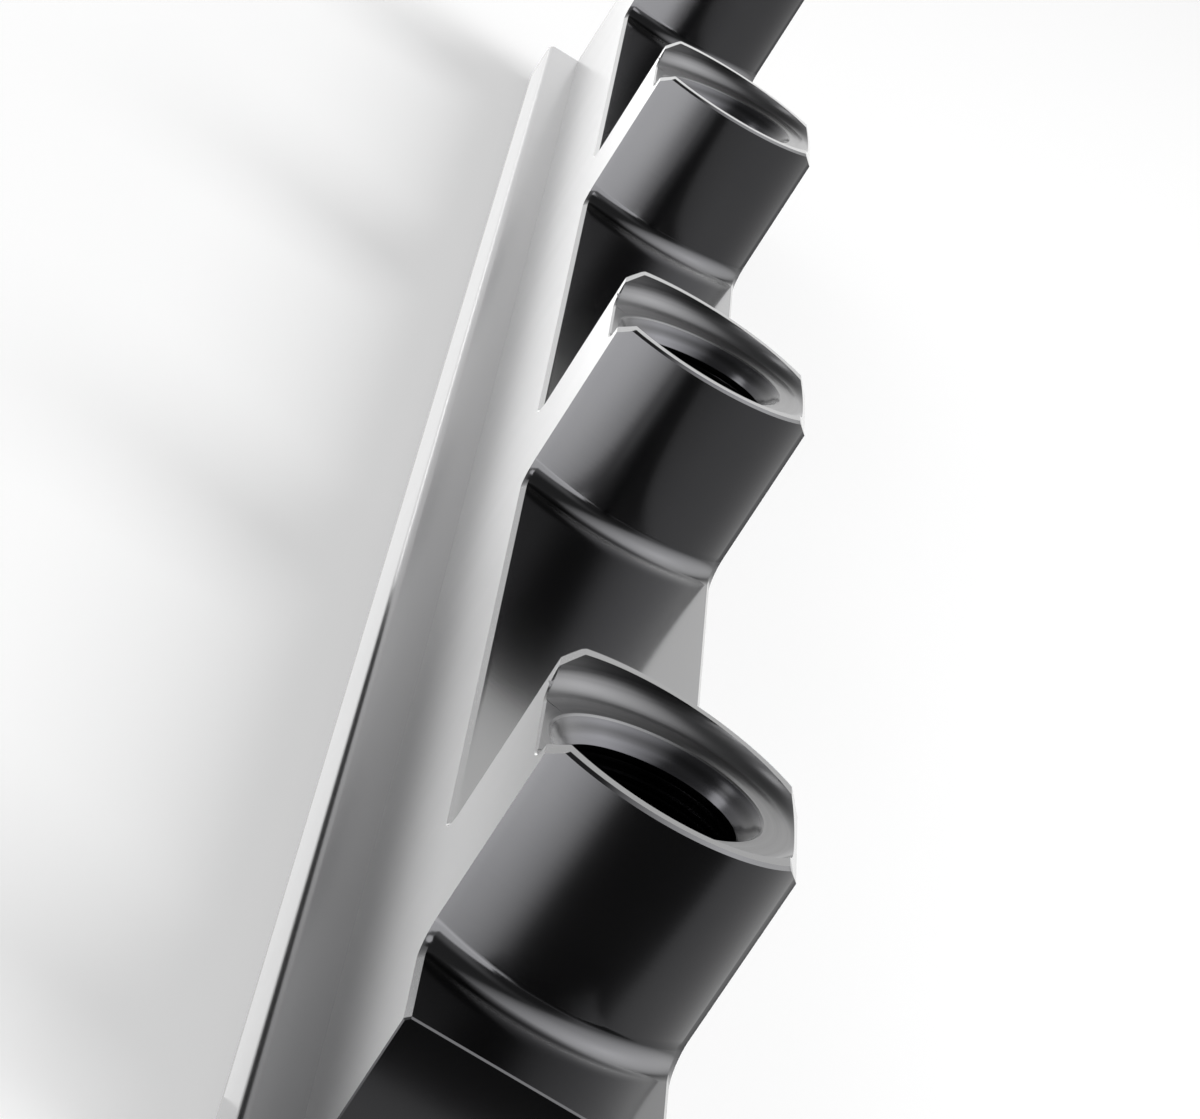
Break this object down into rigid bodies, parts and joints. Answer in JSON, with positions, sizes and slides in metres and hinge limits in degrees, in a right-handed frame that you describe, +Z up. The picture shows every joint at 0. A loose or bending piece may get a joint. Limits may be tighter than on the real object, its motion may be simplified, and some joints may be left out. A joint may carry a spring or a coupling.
{
  "type": "fuel rail",
  "caption": "Straight milled bar with a foot along its base, a fuel gallery with threaded ends and dished bosses whose injector bores lean to one side.",
  "frame": {"origin": "centre of the foot's bottom face", "axes": "+X along the rail to the far end, +Y to the side that the injector bores lean to, +Z up to the boss faces"},
  "size_m": [0.3818, 0.0292, 0.0392],
  "materials": {
    "anodised_aluminium": "black anodised, semi-gloss"
  },
  "bodies": {
    "root": {"rail_body": "anodised_aluminium"}
  },
  "joints": []
}
